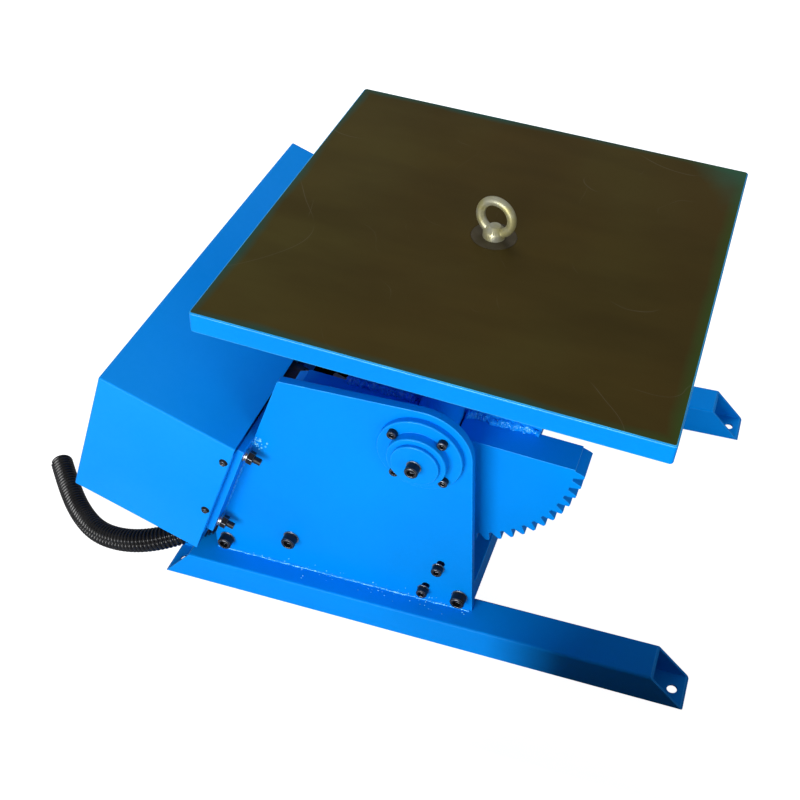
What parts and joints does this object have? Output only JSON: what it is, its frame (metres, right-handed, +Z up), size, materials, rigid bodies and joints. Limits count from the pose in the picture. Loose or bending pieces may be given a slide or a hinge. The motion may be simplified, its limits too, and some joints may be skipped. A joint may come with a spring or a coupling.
{
  "type": "welding positioner",
  "caption": "Welding positioner: a square steel table that turns on a spindle and tilts on trunnions between two side plates, driven through a sector gear, on a skid base with a rear cover.",
  "frame": {"origin": "centre of the four anchor holes, on the floor under the skids", "axes": "+Z up, +X along the skids away from the rear cover, -Y towards the side that carries the sector gear"},
  "size_m": [1.0807, 0.6422, 0.5655],
  "materials": {
    "blue_paint": "semi-gloss blue enamel over steel",
    "table_steel": "machined, oiled and darkened top with blue painted edges",
    "black_screws": "black oxide",
    "yellow_zinc": "yellow passivated zinc plate",
    "gear_steel": "hobbed and oiled",
    "turned_steel": "turned and ground",
    "bronze": "turned bronze",
    "bearing_steel": "ground",
    "cast_aluminium": "die cast and shot blasted",
    "motor_paint": "grey satin enamel",
    "fan_cover_paint": "dark satin enamel on pressed steel",
    "conduit_plastic": "corrugated black nylon",
    "gland_plastic": "moulded black nylon"
  },
  "bodies": {
    "frame": {"skid_near": "blue_paint", "skid_far": "blue_paint", "side_plate_near": "blue_paint", "side_plate_far": "blue_paint", "front_cross_bar": "blue_paint", "middle_tie_bar": "blue_paint", "rear_lug_near": "blue_paint", "rear_lug_far": "blue_paint", "frame_screws": "black_screws", "bearing_flange_near": "blue_paint", "bearing_flange_far": "blue_paint", "trunnion_bush_near": "bronze", "trunnion_bush_far": "bronze", "flange_screws": "black_screws", "drive_bracket": "blue_paint", "bracket_screws": "black_screws", "tilt_gearbox": "cast_aluminium", "tilt_gearbox_screws": "black_screws", "tilt_motor": "motor_paint", "tilt_motor_fan_cover": "fan_cover_paint", "rear_mount_plate": "blue_paint", "rear_cover": "blue_paint", "cover_angle_near": "blue_paint", "cover_angle_far": "blue_paint", "cover_screws": "black_screws", "rear_bolts": "black_screws", "conduit": "conduit_plastic", "conduit_gland": "gland_plastic", "gland_plate": "blue_paint"},
    "tilt_drive": {"tilt_pinion": "gear_steel", "tilt_pinion_shaft": "turned_steel"},
    "cradle": {"sector_gear": "blue_paint", "cradle_arm_near": "blue_paint", "cradle_arm_far": "blue_paint", "trunnion_near": "turned_steel", "trunnion_far": "turned_steel", "end_disc_near": "blue_paint", "end_disc_far": "blue_paint", "end_disc_screws": "black_screws", "cradle_deck": "blue_paint", "spin_gearbox": "cast_aluminium", "spin_gearbox_screws": "black_screws", "spin_motor": "motor_paint", "spin_motor_fan_cover": "fan_cover_paint", "spindle_housing": "blue_paint", "housing_screws": "black_screws", "spindle_bearing_upper": "bearing_steel", "spindle_bearing_lower": "bearing_steel"},
    "spin_drive": {"spin_pinion": "gear_steel", "spin_pinion_shaft": "turned_steel"},
    "turntable": {"table_plate": "table_steel", "spindle": "turned_steel", "spindle_screws": "black_screws", "spindle_lock_nut": "black_screws", "ring_gear": "gear_steel", "ring_gear_screws": "black_screws", "eye_bolt": "yellow_zinc"}
  },
  "joints": [
    {"name": "table_tilt", "type": "hinge", "parent": "frame", "child": "cradle", "pos_m": [0.0205, 0, 0.354], "axis": [0, 1, 0], "range_deg": [-5, 80]},
    {"name": "tilt_pinion_turn", "type": "hinge", "parent": "frame", "child": "tilt_drive", "pos_m": [-0.03175, 0, 0.12591], "axis": [0, 1, 0], "range_deg": [-441, 28.5]},
    {"name": "table_spin", "type": "hinge", "parent": "cradle", "child": "turntable", "pos_m": [0.0205, 0, 0.354], "axis": [0.0872, 0, 0.9962], "continuous": true},
    {"name": "spin_pinion_turn", "type": "hinge", "parent": "cradle", "child": "spin_drive", "pos_m": [-0.06318, -0.12427, 0.36132], "axis": [0.0872, 0, 0.9962], "continuous": true}
  ],
  "couplings": [
    {"joint": "tilt_pinion_turn", "follows": "table_tilt", "ratio": -5.5},
    {"joint": "spin_pinion_turn", "follows": "table_spin", "ratio": -4}
  ]
}
